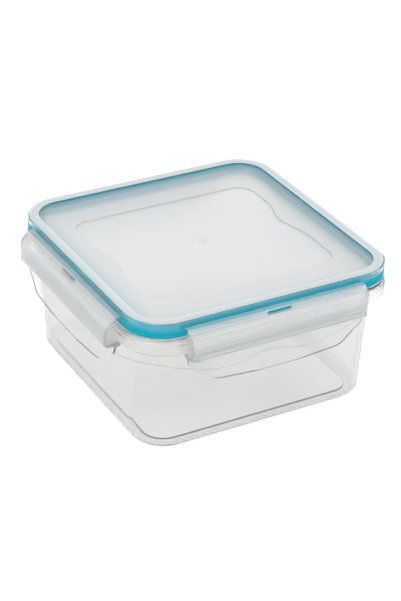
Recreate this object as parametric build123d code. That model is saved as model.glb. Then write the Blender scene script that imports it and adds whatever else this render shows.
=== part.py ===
from build123d import *
import math
import os

# A square clip-lock food box: clear tub, frosted lid, rubber gasket and four side latches.
# Millimetres, +Z up, origin at the centre of the base. The front latch faces -Y.
# Distances named "half" are measured from the box's middle to a side.

# Lid
LID_WIDTH = 150.0
LID_CORNER_RADIUS = 21.0
LID_WALL = 1.2
LID_RIM_BREADTH = 5.7
LID_RIM_SKIRT = 4.5
LID_TOP_WALL = 1.3
LID_RECESS_DEPTH = 4.3
LID_PANEL_THICKNESS = 1.5
LID_RIM_ROUND = 1.6
LID_INNER_BEVEL = 0.5
LID_PANEL_BEVEL = 0.8
PLUG_LIFT = 0.6

# Clearer window pressed into the lid's panel
WINDOW_WIDTH = 110.0
WINDOW_DEPTH = 98.0
WINDOW_CORNER_RADIUS = 10.0
WINDOW_STEP = 0.5
WINDOW_GRIP_DEPTH = 4.5
WINDOW_GRIP_LENGTH = 42.0
WINDOW_GRIP_SHIFT = 3.0
GATE_MARK_RADIUS = 2.2
GATE_MARK_BREADTH = 0.6
GATE_MARK_DEPTH = 0.25

# Tub
TUB_SEAT_HEIGHT = 70.9
TUB_SHELF_INSET = 0.55
TUB_BASE_CORNER_RADIUS = 18.7
TUB_DRAFT = 2.7
TUB_WALL = 1.6
TUB_FLOOR = 1.8
TUB_BASE_ROUND = 4.5
TUB_INNER_BEVEL = 2.6
FOOT_BREADTH = 2.6
FOOT_HEIGHT = 0.8
RIM_LIP_HEIGHT = 3.6
RIM_LIP_WALL = 1.2
RIM_LIP_BEVEL = 0.35

# Flange under the tub's rim, three steps deep
FLANGE_OVERHANG = 1.3
FLANGE_DEPTH = 9.5
FLANGE_WALL = 1.7
FLANGE_LEDGE = 1.6
FLANGE_STEP = 0.45
FLANGE_UPPER_STEP = 2.0
FLANGE_MIDDLE_STEP = 4.0
CATCH_BITE = 1.2

# Gasket
GASKET_FIT = 0.1
GASKET_LEG = 0.7
GASKET_PROUD = 0.3
GASKET_EDGE_BEVEL = 0.25

# Clearances between pieces that move on each other
SEAL_GAP = 0.3
CATCH_GAP = 0.4
HINGE_GAP = 0.3

# Hinge webs
WEB_THICKNESS = 0.8
WEB_SPAN = 1.8
WEB_DROP = 0.3
WEB_HEIGHT = 0.5

# Latches
LATCH_LENGTH = 103.4
LATCH_WALL = 1.3
LATCH_ROOF_ANGLE = 45.0
LATCH_BULGE = 6.2
LATCH_BULGE_RADIUS = 8.5
BAND_ROUND = 1.6
RAIL_THICKNESS = 1.7
CATCH_DEPTH = 1.1
CATCH_NOSE = 0.5
CHEEK_THICKNESS = 1.4
CHEEK_DROP = 1.2
LIP_SETBACK = 5.1
LIP_BEND_DROP = 8.7
LIP_BEND_OUT = 0.8
LIP_DROP = 16.1
LIP_FLARE = 2.8
LIP_ROOT_ROUND = 0.6
LIP_BEND_RADIUS = 12.0
LIP_EDGE_ROUND = 0.4
LIP_LENGTH = 97.0
LIP_SHOULDER = 2.9
LIP_SHOULDER_DROP = 8.7
LIP_SHOULDER_RADIUS = 8.0
LIP_CORNER = 10.5
LIP_CORNER_DROP = 14.5
LIP_CORNER_RADIUS = 10.0
NOTCH_LENGTH = 14.5
NOTCH_HEIGHT = 1.6
NOTCH_DROP = 0.8
NOTCH_ROUND = 0.7

# Heights and half-widths worked out from the sizes above
LID_HALF = LID_WIDTH / 2
RING_CENTRE = LID_HALF - LID_CORNER_RADIUS
LIP_TOP = TUB_SEAT_HEIGHT + RIM_LIP_HEIGHT
GASKET_GROOVE_TOP = LIP_TOP + SEAL_GAP
GASKET_BOTTOM = TUB_SEAT_HEIGHT + SEAL_GAP
LID_RIM_LOW = LIP_TOP + GASKET_LEG
LID_TOP = LID_RIM_LOW + LID_RIM_SKIRT
CHANNEL_TOP = LID_TOP - LID_TOP_WALL
PANEL_TOP = LID_TOP - LID_RECESS_DEPTH
PANEL_LOW = PANEL_TOP - LID_PANEL_THICKNESS
PLUG_LOW = TUB_SEAT_HEIGHT + PLUG_LIFT
RECESS_HALF = LID_HALF - LID_RIM_BREADTH
PLUG_HALF = RECESS_HALF + LID_WALL
CHANNEL_HALF = LID_HALF - LID_WALL
GASKET_INNER_HALF = PLUG_HALF + GASKET_FIT
GASKET_OUTER_HALF = CHANNEL_HALF - GASKET_FIT
BEAD_HALF = LID_HALF + GASKET_PROUD
RIM_LIP_INNER_HALF = GASKET_INNER_HALF + GASKET_LEG + SEAL_GAP
RIM_LIP_OUTER_HALF = RIM_LIP_INNER_HALF + RIM_LIP_WALL
GROOVE_INNER_HALF = RIM_LIP_INNER_HALF - SEAL_GAP
GROOVE_OUTER_HALF = RIM_LIP_OUTER_HALF + SEAL_GAP

TUB_MOUTH_HALF = RIM_LIP_INNER_HALF - TUB_SHELF_INSET
TUB_BASE_HALF = TUB_MOUTH_HALF - TUB_SEAT_HEIGHT * math.tan(math.radians(TUB_DRAFT))
TUB_CORNER_CENTRE = TUB_BASE_HALF - TUB_BASE_CORNER_RADIUS
FLANGE_HALF = LID_HALF + FLANGE_OVERHANG
FLANGE_LOW = TUB_SEAT_HEIGHT - FLANGE_DEPTH
FLANGE_INNER_HALF = FLANGE_HALF - FLANGE_WALL

# Crease lines of the hinge: one beside the lid's rim, one at the top of the latch
LID_CREASE_OUT = LID_HALF + HINGE_GAP + WEB_THICKNESS / 2
LID_CREASE_UP = LID_RIM_LOW + WEB_HEIGHT
LATCH_CREASE_OUT = LID_CREASE_OUT + WEB_SPAN
LATCH_CREASE_UP = LID_CREASE_UP - WEB_DROP

# Latch outline: sloped roof, arc into the band, catch rail under the flange, finger lip
ROOF = math.radians(LATCH_ROOF_ANGLE)
BULGE_OUT = LATCH_CREASE_OUT + LATCH_BULGE
BULGE_TURN_OUT = BULGE_OUT - LATCH_BULGE_RADIUS * (1 - math.sin(ROOF))
ROOF_TOP_OUT = LATCH_CREASE_OUT + LATCH_WALL / 2 * math.sin(ROOF)
ROOF_TOP_UP = LATCH_CREASE_UP + LATCH_WALL / 2 * math.cos(ROOF)
BULGE_TURN_UP = ROOF_TOP_UP - (BULGE_TURN_OUT - ROOF_TOP_OUT) * math.tan(ROOF)
BULGE_CENTRE_UP = BULGE_TURN_UP - LATCH_BULGE_RADIUS * math.cos(ROOF)
CATCH_OUT = FLANGE_HALF - CATCH_BITE
CATCH_UP = FLANGE_LOW - CATCH_GAP * math.sqrt(2)
RAIL_TOP = CATCH_UP + CATCH_NOSE
RAIL_LOW = RAIL_TOP - RAIL_THICKNESS
LIP_OUT = BULGE_OUT - LIP_SETBACK
LIP_BEND_UP = RAIL_LOW - LIP_BEND_DROP
LIP_LOW = RAIL_LOW - LIP_DROP
LIP_SHOULDER_UP = RAIL_LOW - LIP_SHOULDER_DROP
LIP_CORNER_UP = RAIL_LOW - LIP_CORNER_DROP
CHEEK_OUT = FLANGE_HALF + SEAL_GAP + CATCH_GAP

SIDES = {"front": 0, "right": 90, "back": 180, "left": 270}


def rounded_plate(half, centre, low, high):
    """Square plate whose corner arcs are struck from points `centre` out along X and Y."""
    face = RectangleRounded(2 * half, 2 * half, half - centre)
    return Pos(0, 0, low) * extrude(face, high - low)


def ring(inner_half, outer_half, low, high):
    """Square ring that shares its corner centres with the lid's rim."""
    outer = rounded_plate(outer_half, RING_CENTRE, low, high)
    return outer - rounded_plate(inner_half, RING_CENTRE, low, high)


def drafted_block(inset, low, high):
    """Tub-shaped block that widens upwards by the draft, set in from the tub's outside."""
    half = TUB_BASE_HALF - inset + low * math.tan(math.radians(TUB_DRAFT))
    face = RectangleRounded(2 * half, 2 * half, half - TUB_CORNER_CENTRE)
    return Pos(0, 0, low) * extrude(face, high - low, taper=-TUB_DRAFT)


def half_at(edge, centre):
    """How far out from the middle a rounded square passes through an edge's middle."""
    point = edge @ 0.5
    across, along = abs(point.X), abs(point.Y)
    if across > centre and along > centre:
        return centre + math.hypot(across - centre, along - centre)
    return max(across, along)


def loop(shape, height, half, centre):
    """Edges of a level rounded-square loop at a given height and half-width."""
    near = 0.02
    level = [e for e in shape.edges() if abs((e @ 0.5).Z - height) < near]
    flat = [e for e in level if abs((e @ 0).Z - (e @ 1).Z) < near]
    return ShapeList([e for e in flat if abs(half_at(e, centre) - half) < near])


def window_face():
    """Window outline: a rounded rectangle with a finger-grip swell inwards on two sides."""
    field = RectangleRounded(WINDOW_WIDTH, WINDOW_DEPTH, WINDOW_CORNER_RADIUS)
    quarter = WINDOW_GRIP_LENGTH / 4
    swell_radius = (quarter ** 2 + (WINDOW_GRIP_DEPTH / 2) ** 2) / WINDOW_GRIP_DEPTH
    for side in (-1, 1):
        edge = side * WINDOW_WIDTH / 2
        crest = edge - side * WINDOW_GRIP_DEPTH
        middle = edge - side * WINDOW_GRIP_DEPTH / 2
        start = (edge, WINDOW_GRIP_SHIFT + 2 * quarter)
        upper = (middle, WINDOW_GRIP_SHIFT + quarter)
        top = (crest, WINDOW_GRIP_SHIFT)
        lower = (middle, WINDOW_GRIP_SHIFT - quarter)
        end = (edge, WINDOW_GRIP_SHIFT - 2 * quarter)
        outside = (edge + side * swell_radius, WINDOW_GRIP_SHIFT)
        swell = TangentArc(start, upper, tangent=(0, -1))
        swell += TangentArc(upper, top, tangent=swell.edges()[-1] % 1)
        swell += TangentArc(end, lower, tangent=(0, 1))
        swell += TangentArc(lower, top, tangent=swell.edges()[-1] % 1)
        swell += Polyline(start, (outside[0], start[1]), (outside[0], end[1]), end)
        field -= make_face(swell)
    return field


def make_tub():
    body = drafted_block(0, 0, TUB_SEAT_HEIGHT)
    body = fillet(body.faces().sort_by(Axis.Z)[0].edges(), TUB_BASE_ROUND)
    foot_half = TUB_BASE_HALF - TUB_BASE_ROUND - FOOT_BREADTH
    body -= rounded_plate(foot_half, TUB_CORNER_CENTRE, 0, FOOT_HEIGHT)
    ledge_low = TUB_SEAT_HEIGHT - FLANGE_LEDGE
    upper_low = TUB_SEAT_HEIGHT - FLANGE_UPPER_STEP
    middle_low = TUB_SEAT_HEIGHT - FLANGE_MIDDLE_STEP
    body += rounded_plate(FLANGE_HALF - 2 * FLANGE_STEP, RING_CENTRE, ledge_low, TUB_SEAT_HEIGHT)
    body += ring(FLANGE_INNER_HALF, FLANGE_HALF - 2 * FLANGE_STEP, upper_low, TUB_SEAT_HEIGHT)
    body += ring(FLANGE_INNER_HALF, FLANGE_HALF - FLANGE_STEP, middle_low, upper_low)
    skirt = ring(FLANGE_INNER_HALF, FLANGE_HALF, FLANGE_LOW, middle_low)
    body += chamfer(loop(skirt, FLANGE_LOW, FLANGE_HALF, RING_CENTRE), CATCH_BITE)
    cavity = drafted_block(TUB_WALL, TUB_FLOOR, TUB_SEAT_HEIGHT)
    cavity = chamfer(cavity.faces().sort_by(Axis.Z)[0].edges(), TUB_INNER_BEVEL)
    body -= cavity
    body += rounded_plate(foot_half, TUB_CORNER_CENTRE, FOOT_HEIGHT, FOOT_HEIGHT + TUB_FLOOR)
    lip = ring(RIM_LIP_INNER_HALF, RIM_LIP_OUTER_HALF, TUB_SEAT_HEIGHT, LIP_TOP)
    body += chamfer(lip.faces().sort_by(Axis.Z)[-1].edges(), RIM_LIP_BEVEL)
    return body


def make_lid():
    rim = rounded_plate(LID_HALF, RING_CENTRE, LID_RIM_LOW, LID_TOP)
    rim = fillet(rim.faces().sort_by(Axis.Z)[-1].edges(), LID_RIM_ROUND)
    body = rim - ring(PLUG_HALF, CHANNEL_HALF, LID_RIM_LOW, CHANNEL_TOP)
    body += rounded_plate(PLUG_HALF, RING_CENTRE, PLUG_LOW, PANEL_TOP)
    recess = rounded_plate(RECESS_HALF, RING_CENTRE, PANEL_TOP, LID_TOP)
    body -= chamfer(recess.faces().sort_by(Axis.Z)[0].edges(), LID_PANEL_BEVEL)
    body -= rounded_plate(RECESS_HALF, RING_CENTRE, PLUG_LOW, PANEL_LOW)
    body = chamfer(loop(body, LID_TOP, RECESS_HALF, RING_CENTRE), LID_INNER_BEVEL)
    window_low = PANEL_TOP - WINDOW_STEP
    body -= Pos(0, 0, window_low) * extrude(window_face(), WINDOW_STEP)
    mark = Cylinder(GATE_MARK_RADIUS, GATE_MARK_DEPTH) - Cylinder(
        GATE_MARK_RADIUS - GATE_MARK_BREADTH, GATE_MARK_DEPTH
    )
    return body - Pos(0, 0, window_low - GATE_MARK_DEPTH / 2) * mark


def make_gasket():
    body = ring(GASKET_INNER_HALF, GASKET_OUTER_HALF, LID_RIM_LOW, CHANNEL_TOP)
    body += ring(GASKET_INNER_HALF, BEAD_HALF, GASKET_BOTTOM, LID_RIM_LOW)
    body -= ring(GROOVE_INNER_HALF, GROOVE_OUTER_HALF, GASKET_BOTTOM, GASKET_GROOVE_TOP)
    edge = loop(body, GASKET_BOTTOM, BEAD_HALF, RING_CENTRE)
    return chamfer(edge, GASKET_EDGE_BEVEL)


def side_section(face):
    """Put a section drawn as (out, up) on the front side, ready to run along X."""
    return Plane(origin=(0, 0, 0), x_dir=(0, -1, 0), z_dir=(-1, 0, 0)) * face


def run_along_side(face, start, end):
    """Carry a front-side section along X from start to end."""
    return Pos(end, 0, 0) * extrude(side_section(face), end - start)


def make_web():
    """Thin hinge strip with a round edge at each crease."""
    lid_crease = Vector(LID_CREASE_OUT, LID_CREASE_UP)
    latch_crease = Vector(LATCH_CREASE_OUT, LATCH_CREASE_UP)
    middle = (lid_crease + latch_crease) / 2
    run = latch_crease - lid_crease
    slope = math.degrees(math.atan2(run.Y, run.X))
    strip = SlotCenterToCenter(run.length, WEB_THICKNESS)
    face = Pos(middle.X, middle.Y) * (Rot(0, 0, slope) * strip)
    return run_along_side(face, -LATCH_LENGTH / 2, LATCH_LENGTH / 2)


def vertex_near(face, out, up):
    """The corner of a section that lies nearest to a point."""
    spot = Vector(out, up)
    return ShapeList([min(face.vertices(), key=lambda corner: (corner.center() - spot).length)])


def latch_section():
    """Latch section: sloped roof, bulged band, catch rail and flared finger lip."""
    inner_band = BULGE_OUT - LATCH_WALL
    roof_wall = Vector(LATCH_WALL * math.sin(ROOF), LATCH_WALL * math.cos(ROOF))
    roof_start = Vector(LATCH_CREASE_OUT, LATCH_CREASE_UP) + roof_wall / 2
    roof_end = Vector(BULGE_TURN_OUT, BULGE_TURN_UP)
    crest_up = CATCH_UP + CATCH_BITE + CATCH_NOSE
    crest_out = CATCH_OUT + CATCH_BITE + CATCH_NOSE

    outline = Line(roof_start - roof_wall, roof_start)
    outline += Line(roof_start, roof_end)
    outline += TangentArc(roof_end, (BULGE_OUT, BULGE_CENTRE_UP), tangent=outline.edges()[-1] % 1)
    outline += Polyline(
        (BULGE_OUT, BULGE_CENTRE_UP),
        (BULGE_OUT, RAIL_LOW),
        (LIP_OUT, RAIL_LOW),
        (LIP_OUT + LIP_BEND_OUT, LIP_BEND_UP),
        (LIP_OUT + LIP_FLARE, LIP_LOW),
        (LIP_OUT + LIP_FLARE - LATCH_WALL, LIP_LOW),
        (LIP_OUT + LIP_BEND_OUT - LATCH_WALL, LIP_BEND_UP),
        (LIP_OUT - LATCH_WALL, CATCH_UP - CATCH_NOSE - CATCH_DEPTH),
        (CATCH_OUT + CATCH_NOSE, CATCH_UP - CATCH_NOSE - CATCH_DEPTH),
        (CATCH_OUT, CATCH_UP - CATCH_DEPTH),
        (CATCH_OUT, CATCH_UP),
        (crest_out, crest_up),
        (crest_out + CATCH_NOSE, crest_up),
        (crest_out + 2 * CATCH_NOSE, RAIL_TOP),
        (inner_band, RAIL_TOP),
        (inner_band, BULGE_CENTRE_UP),
    )
    outline += TangentArc((inner_band, BULGE_CENTRE_UP), roof_end - roof_wall, tangent=(0, 1))
    outline += Line(roof_end - roof_wall, roof_start - roof_wall)
    face = make_face(outline)
    face = fillet(vertex_near(face, BULGE_OUT, RAIL_LOW), BAND_ROUND)
    face = fillet(vertex_near(face, LIP_OUT, RAIL_LOW), LIP_ROOT_ROUND)
    face = fillet(vertex_near(face, LIP_OUT + LIP_BEND_OUT, LIP_BEND_UP), LIP_BEND_RADIUS)
    inner_bend = LIP_OUT + LIP_BEND_OUT - LATCH_WALL
    face = fillet(vertex_near(face, inner_bend, LIP_BEND_UP), LIP_BEND_RADIUS)
    tip = LIP_OUT + LIP_FLARE
    face = fillet(vertex_near(face, tip, LIP_LOW), LIP_EDGE_ROUND)
    return fillet(vertex_near(face, tip - LATCH_WALL, LIP_LOW), LIP_EDGE_ROUND)


def cheek_section():
    """End wall of the latch, which closes the space behind its band."""
    skin = LATCH_WALL / 2
    outline = Polyline(
        (BULGE_OUT - skin, BULGE_CENTRE_UP),
        (BULGE_OUT - skin, RAIL_TOP - skin),
        (CHEEK_OUT + CATCH_NOSE, RAIL_TOP - skin),
        (CHEEK_OUT, RAIL_TOP + CATCH_BITE),
        (CHEEK_OUT, LATCH_CREASE_UP - CHEEK_DROP),
        (BULGE_TURN_OUT - skin * math.sin(ROOF), BULGE_TURN_UP - skin * math.cos(ROOF)),
        close=True,
    )
    return make_face(outline)


def latch_front():
    """Front view of the latch: full-length band above, narrower round-cornered lip below."""
    band_end, lip_end = LATCH_LENGTH / 2, LIP_LENGTH / 2
    right = [
        (band_end, LID_TOP),
        (band_end, RAIL_LOW),
        (lip_end, RAIL_LOW),
        (lip_end - LIP_SHOULDER, LIP_SHOULDER_UP),
        (lip_end - LIP_CORNER, LIP_CORNER_UP),
    ]
    left = [(-across, up) for across, up in right]
    outline = Polyline(*right) + Polyline(*left) + Line(left[0], right[0])
    outline += ThreePointArc(right[-1], (0, LIP_LOW), left[-1])
    face = make_face(outline)
    for side in (-1, 1):
        shoulder = vertex_near(face, side * (lip_end - LIP_SHOULDER), LIP_SHOULDER_UP)
        face = fillet(shoulder, LIP_SHOULDER_RADIUS)
        corner = vertex_near(face, side * (lip_end - LIP_CORNER), LIP_CORNER_UP)
        face = fillet(corner, LIP_CORNER_RADIUS)
    return face


def make_latch():
    """Latch of the front side, cut clear of its hinge web."""
    body = run_along_side(latch_section(), -LATCH_LENGTH / 2, LATCH_LENGTH / 2)
    reach = 2 * BULGE_OUT
    body &= Plane.XZ * extrude(latch_front(), reach)
    for start in (-LATCH_LENGTH / 2, LATCH_LENGTH / 2 - CHEEK_THICKNESS):
        body += run_along_side(cheek_section(), start, start + CHEEK_THICKNESS)
    crease = Pos(0, -LATCH_CREASE_OUT, LATCH_CREASE_UP) * Rot(0, 90, 0)
    body -= crease * Cylinder(WEB_THICKNESS / 2 + HINGE_GAP, LATCH_LENGTH)
    notch = RectangleRounded(NOTCH_LENGTH, 2 * NOTCH_HEIGHT, NOTCH_ROUND)
    notch_middle = LATCH_CREASE_UP - NOTCH_DROP
    notch &= Pos(0, -NOTCH_HEIGHT / 2) * Rectangle(NOTCH_LENGTH, NOTCH_HEIGHT)
    body -= Plane.XZ * (Pos(0, notch_middle) * extrude(notch, reach))
    return body


def main():
    parts = {"tub": make_tub(), "lid": make_lid(), "gasket": make_gasket()}
    for side, turn in SIDES.items():
        parts[side + "_hinge_web"] = Rot(0, 0, turn) * make_web()
        parts[side + "_latch"] = Rot(0, 0, turn) * make_latch()
    os.makedirs("parts", exist_ok=True)
    for name, shape in parts.items():
        export_step(shape, os.path.join("parts", name + ".step"))


main()
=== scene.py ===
import math

import bmesh
import bpy
import numpy as np
from bpy.props import FloatProperty, FloatVectorProperty, PointerProperty
from bpy.types import Operator, Panel, PropertyGroup
from mathutils import Matrix, Vector


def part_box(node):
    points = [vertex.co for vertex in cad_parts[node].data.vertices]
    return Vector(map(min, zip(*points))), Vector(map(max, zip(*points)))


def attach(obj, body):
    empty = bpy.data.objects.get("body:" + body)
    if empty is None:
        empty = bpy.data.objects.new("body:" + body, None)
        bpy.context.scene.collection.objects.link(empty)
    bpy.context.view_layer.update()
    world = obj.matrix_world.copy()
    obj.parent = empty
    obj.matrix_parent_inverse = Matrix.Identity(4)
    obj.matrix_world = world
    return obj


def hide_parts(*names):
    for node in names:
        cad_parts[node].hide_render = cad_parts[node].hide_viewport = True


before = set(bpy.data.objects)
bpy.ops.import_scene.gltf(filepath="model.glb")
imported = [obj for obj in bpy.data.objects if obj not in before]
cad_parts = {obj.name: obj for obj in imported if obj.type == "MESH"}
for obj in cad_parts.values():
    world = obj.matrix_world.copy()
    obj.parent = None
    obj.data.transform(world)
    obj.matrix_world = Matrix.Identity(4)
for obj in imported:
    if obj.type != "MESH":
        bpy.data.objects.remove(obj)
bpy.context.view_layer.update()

bl_info = {
    "name": "Clip-lock food box",
    "version": (1, 0, 0),
    "blender": (4, 5, 0),
    "location": "3D View > Sidebar > Food box",
    "description": "Dresses a square clip-lock food box: tub, lid, gasket, hinge webs and latches",
    "category": "Object",
}

MM = 0.001

# Sizes read from the frame, in metres. "Half" is the distance from the middle to a side.
LID_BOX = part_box("lid")
TUB_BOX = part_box("tub")
GASKET_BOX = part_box("gasket")
LATCH_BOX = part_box("front_latch")

LID_TOP = LID_BOX[1][2]
LID_HALF = LID_BOX[1][0]
PLUG_LOW = LID_BOX[0][2]
FLANGE_HALF = TUB_BOX[1][0]
RIM_LIP_TOP = TUB_BOX[1][2]
GASKET_LOW = GASKET_BOX[0][2]
GASKET_TOP = GASKET_BOX[1][2]
BEAD_HALF = GASKET_BOX[1][0]
LATCH_HALF_LENGTH = LATCH_BOX[1][0]
BAND_OUT = -LATCH_BOX[0][1]
CATCH_OUT = -LATCH_BOX[1][1]
LIP_LOW = LATCH_BOX[0][2]

# Rim of the lid and tub
LID_CORNER_RADIUS = 21.0 * MM
CORNER_CENTRE = LID_HALF - LID_CORNER_RADIUS
RIM_LOW = LID_TOP - 4.5 * MM
RECESS_HALF = LID_HALF - 5.7 * MM
CHANNEL_TOP = LID_TOP - 1.3 * MM
PANEL_TOP = LID_TOP - 4.3 * MM
PANEL_LOW = PANEL_TOP - 1.5 * MM
MILKY_RISE = 2.5 * MM
SEAT = RIM_LIP_TOP - 3.6 * MM
RIM_LIP_HALF = LID_HALF - 3.4 * MM

# Tub wall
DRAFT = math.tan(math.radians(2.7))
TUB_WALL = 1.6 * MM
TUB_BASE_HALF = RIM_LIP_HALF - 0.55 * MM - SEAT * DRAFT
TUB_CORNER_RADIUS = 18.7 * MM
TUB_CENTRE = TUB_BASE_HALF - TUB_CORNER_RADIUS
FOOT_HALF = TUB_BASE_HALF - 7.1 * MM
FLANGE_LOW = SEAT - 9.5 * MM

# Crease lines of the hinges, out from the middle and up
LID_CREASE = (LID_HALF + 0.7 * MM, RIM_LOW + 0.5 * MM)
LATCH_CREASE = (LID_CREASE[0] + 1.8 * MM, LID_CREASE[1] - 0.3 * MM)

# How far the lip's face stands inside the band's, and the breadth of the lid's flat rim top, which gets a
# painted highlight
LIP_STEP = 5.1 * MM
RIM_HIGHLIGHT_BAND = 0.3 * MM

SIDES = {"front": 0, "right": 90, "back": 180, "left": 270}

# Sockets of the Mix node in its colour mode
MIX_SHARE, MIX_FIRST, MIX_SECOND, MIX_RESULT = 0, 6, 7, 2


class BoxSizes(PropertyGroup):
    """Sizes of the moulded details that a user would change."""

    rim_round: FloatProperty(
        name="Rim round", description="Radius of the lid rim's outer top edge",
        default=1.6 * MM, min=0.4 * MM, max=2.0 * MM, unit="LENGTH", precision=4)
    edge_round: FloatProperty(
        name="Edge round", description="Radius of the small moulded edges",
        default=0.25 * MM, min=0.05 * MM, max=0.4 * MM, unit="LENGTH", precision=5)
    base_round: FloatProperty(
        name="Base round", description="Radius of the tub's bottom edge",
        default=4.5 * MM, min=2.0 * MM, max=6.0 * MM, unit="LENGTH", precision=4)
    window_width: FloatProperty(
        name="Window width", description="Clear window's size from left to right",
        default=110.0 * MM, min=80.0 * MM, max=125.0 * MM, unit="LENGTH", precision=4)
    window_depth: FloatProperty(
        name="Window depth", description="Clear window's size from front to back",
        default=98.0 * MM, min=80.0 * MM, max=110.0 * MM, unit="LENGTH", precision=4)
    grip_depth: FloatProperty(
        name="Grip depth", description="How far the finger grips swell into the window",
        default=4.5 * MM, min=0.0, max=8.0 * MM, unit="LENGTH", precision=4)
    wave_height: FloatProperty(
        name="Wave height", description="Half the height of the wavy line's middle crest",
        default=1.95 * MM, min=0.0, max=4.0 * MM, unit="LENGTH", precision=4)
    wave_step: FloatProperty(
        name="Wave step", description="How far the wall steps out above the wavy line",
        default=0.45 * MM, min=0.0, max=0.6 * MM, unit="LENGTH", precision=5)


class BoxColours(PropertyGroup):
    """Colours of the materials and strengths of the lights."""

    clear: FloatVectorProperty(
        name="Tub", description="Tint of the clear plastic", subtype="COLOR",
        default=(0.94, 0.938, 0.93), min=0.0, max=1.0)
    frosted: FloatVectorProperty(
        name="Lid", description="Colour of the frosted plastic", subtype="COLOR",
        default=(0.945, 0.962, 0.962), min=0.0, max=1.0)
    rubber: FloatVectorProperty(
        name="Gasket", description="Colour of the soft sealing ring", subtype="COLOR",
        default=(0.0, 0.47, 0.61), min=0.0, max=1.0)
    floor: FloatVectorProperty(
        name="Floor", description="Colour of the floor", subtype="COLOR",
        default=(0.80, 0.80, 0.80), min=0.0, max=1.0)
    sky: FloatProperty(
        name="Surround light", description="Strength of the even light from all round",
        default=0.85, min=0.0, max=2.0)
    key: FloatProperty(
        name="Main lamp", description="Power of the soft lamp above left", unit="POWER",
        default=12.0, min=0.0, max=100.0)
    fill: FloatProperty(
        name="Fill lamp", description="Power of the soft lamp at the right", unit="POWER",
        default=4.0, min=0.0, max=100.0)


class CameraPlace(PropertyGroup):
    """Where the photograph was taken from."""

    position: FloatVectorProperty(
        name="Position", description="Camera position", subtype="TRANSLATION",
        default=(-0.42349, -0.73493, 0.52941), unit="LENGTH")
    azimuth: FloatProperty(
        name="Azimuth", description="Turn of the view about the upright axis",
        default=math.radians(-29.93), subtype="ANGLE")
    elevation: FloatProperty(
        name="Elevation", description="How steeply the view looks down",
        default=math.radians(30.03), subtype="ANGLE")
    roll: FloatProperty(
        name="Roll", description="Turn of the picture about the line of sight",
        default=math.radians(1.77), subtype="ANGLE")
    lens: FloatProperty(
        name="Lens", description="Focal length for a 36 mm picture height",
        default=108.3, min=20.0, max=300.0, unit="CAMERA")


# Surfaces


def soften(path, radii, steps=6, closed=False):
    """Round the corners of a path in (out, up).

    A corner with the angle a between its two runs gets an arc that starts r / tan(a / 2)
    before it. The arc's centre lies r / sin(a / 2) along the bisector. Its points are the
    centre plus r times the blend of the first and last normals, with the weights
    sin((1 - s) w) / sin w and sin(s w) / sin w, where w = pi - a is the sweep. One more
    point stands 0.3 r, at most 0.3 mm, outside each end of the arc, so that the runs shade flat.
    Returns the points and, for each point, the number of the corner that it came from.
    """
    path = np.asarray(path, float)
    radii = np.broadcast_to(np.asarray(radii, float), len(path))
    corners = path if closed else path[1:-1]
    r = (radii if closed else radii[1:-1])[:, None]
    back = (np.roll(path, 1, axis=0) if closed else path[:-2]) - corners
    ahead = (np.roll(path, -1, axis=0) if closed else path[2:]) - corners
    back /= np.linalg.norm(back, axis=1, keepdims=True)
    ahead /= np.linalg.norm(ahead, axis=1, keepdims=True)
    half_angle = np.arccos(np.clip((back * ahead).sum(1), -1, 1))[:, None] / 2
    reach = r / np.tan(half_angle)
    inward = back + ahead
    inward /= np.linalg.norm(inward, axis=1, keepdims=True)
    centre = corners + inward * r / np.sin(half_angle)
    first = (corners + back * reach - centre) / r
    last = (corners + ahead * reach - centre) / r
    sweep = math.pi - 2 * half_angle
    s = np.linspace(0, 1, steps)[:, None, None]
    blend = np.sin((1 - s) * sweep) * first + np.sin(s * sweep) * last
    arcs = centre + r * blend / np.sin(sweep)
    flat = np.minimum(0.3 * r, 0.3 * MM)
    before = (corners + back * (reach + flat))[None]
    after = (corners + ahead * (reach + flat))[None]
    points = np.concatenate([before, arcs, after]).transpose(1, 0, 2).reshape(-1, 2)
    number = np.repeat(np.arange(len(corners)), steps + 2)
    if closed:
        return points, number
    points = np.concatenate([path[:1], points, path[-1:]])
    return points, np.concatenate([[0], number + 1, [len(path) - 1]])


def quarter_turns(points):
    """The first quarter of a ring followed by the same points turned by 90, 180 and 270 degrees."""
    turned = [points]
    for _ in range(3):
        last = turned[-1]
        turned.append(np.stack([-last[:, 1], last[:, 0]], axis=1))
    return np.concatenate(turned)


SIDE_STEPS = 56
CORNER_STEPS = 16
ALONG = np.linspace(-1, 1, SIDE_STEPS, endpoint=False)
BEND = np.linspace(-math.pi / 2, 0, CORNER_STEPS, endpoint=False)
RING_SIDE = np.concatenate([ALONG, np.ones(CORNER_STEPS)])
RING_BASE = quarter_turns(np.stack([RING_SIDE, -np.ones(len(RING_SIDE))], axis=1))
RING_NORMAL = quarter_turns(np.concatenate([
    np.stack([np.zeros(SIDE_STEPS), -np.ones(SIDE_STEPS)], axis=1),
    np.stack([np.cos(BEND), np.sin(BEND)], axis=1)]))
RING_CORNER = np.tile(np.concatenate([np.zeros(SIDE_STEPS), (BEND + math.pi / 2) / (math.pi / 2)]), 4)


def rings(half_x, half_y, radius, height):
    """Rounded rectangles, one per row of the inputs.

    A point is the corner arc's centre plus the radius times the unit normal. Along a side the
    centre slides from one corner to the next and the normal stays, and at a corner the centre
    stays and the normal turns by 90 degrees. Every ring has its points at the same shares of
    its sides and corners, so rings of different shape join without a twist.
    """
    half_x, half_y, radius = (np.asarray(v, float)[:, None] for v in (half_x, half_y, radius))
    x = RING_BASE[:, 0] * (half_x - radius) + RING_NORMAL[:, 0] * radius
    y = RING_BASE[:, 1] * (half_y - radius) + RING_NORMAL[:, 1] * radius
    z = np.asarray(height, float)
    z = np.broadcast_to(z[:, None] if z.ndim == 1 else z, x.shape)
    return np.stack([x, y, z], axis=2)


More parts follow.
